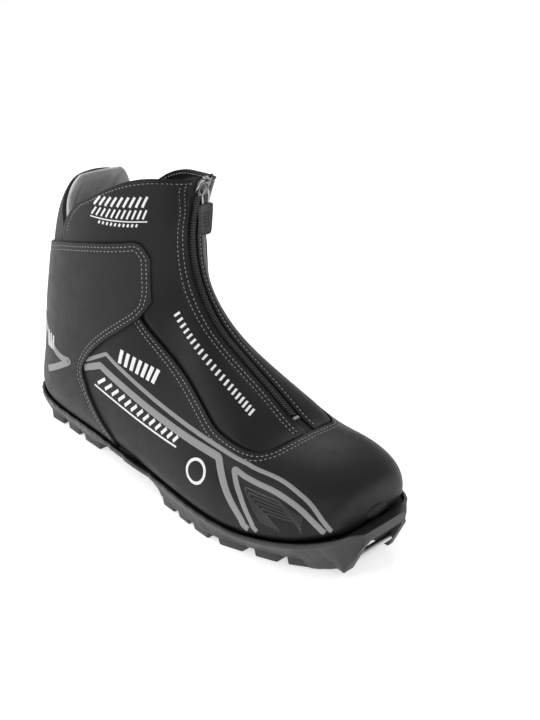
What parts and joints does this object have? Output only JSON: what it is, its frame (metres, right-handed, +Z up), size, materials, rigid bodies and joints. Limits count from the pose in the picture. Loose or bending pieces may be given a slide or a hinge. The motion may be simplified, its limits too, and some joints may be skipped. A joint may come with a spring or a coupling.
{
  "type": "cross-country ski boot",
  "caption": "Black ankle-high cross-country ski boot with a zipped cover over the instep, fleece-lined padded collar and a toe-bar sole.",
  "frame": {"origin": "middle of the boot's length and width, on the ground under the tread", "axes": "+X from the heel to the toe, +Y to the medial (inner) side, +Z up"},
  "size_m": [0.3072, 0.1086, 0.2068],
  "materials": {
    "synthetic_leather": "fine-grained satin synthetic leather",
    "overlay_leather": "fine-grained satin synthetic leather, a shade lighter",
    "padded_cover": "soft satin coated fabric over thin foam",
    "tab_fabric": "matt woven webbing",
    "grey_fleece": "brushed knit lining",
    "foam": "matt open foam",
    "fibre_board": "matt pressed fibre board",
    "stiffener": "matt thermoplastic sheet",
    "sole_rubber": "matt moulded rubber",
    "webbing": "matt woven webbing",
    "zip_tape": "matt woven tape",
    "zip_teeth": "satin moulded plastic",
    "slider_metal": "satin plated metal",
    "bar_steel": "turned steel",
    "pull_rubber": "satin moulded rubber"
  },
  "bodies": {
    "boot": {"bottom_stop": "slider_metal", "collar_facing": "grey_fleece", "collar_pad": "foam", "cover_lateral": "padded_cover", "cover_medial": "padded_cover", "eyestay_lateral": "webbing", "eyestay_medial": "webbing", "footbed": "foam", "heel_counter": "stiffener", "heel_overlay": "overlay_leather", "heel_tab": "tab_fabric", "insole_board": "fibre_board", "lace_loop_lateral_1": "webbing", "lace_loop_lateral_2": "webbing", "lace_loop_lateral_3": "webbing", "lace_loop_lateral_4": "webbing", "lace_loop_medial_1": "webbing", "lace_loop_medial_2": "webbing", "lace_loop_medial_3": "webbing", "lace_loop_medial_4": "webbing", "lining": "grey_fleece", "outsole": "sole_rubber", "shank": "bar_steel", "toe_bar": "bar_steel", "toe_puff": "stiffener", "tongue": "padded_cover", "top_stop_lateral": "slider_metal", "top_stop_medial": "slider_metal", "vamp_and_quarters": "synthetic_leather", "zip_tape_lateral": "zip_tape", "zip_tape_medial": "zip_tape", "zip_teeth_lateral": "zip_teeth", "zip_teeth_medial": "zip_teeth"},
    "slider": {"zip_slider": "slider_metal"},
    "puller": {"pull_link": "slider_metal", "pull_tab": "pull_rubber"}
  },
  "joints": [
    {"name": "zip_travel", "type": "hinge", "parent": "boot", "child": "slider", "pos_m": [0.06334, 0.00766, 0.1648], "axis": [0, -1, 0], "range_deg": [0, 84]},
    {"name": "puller_swing", "type": "hinge", "parent": "slider", "child": "puller", "pos_m": [0.0047, 0.00766, 0.19834], "axis": [0, -1, 0], "range_deg": [-8, 120]}
  ]
}
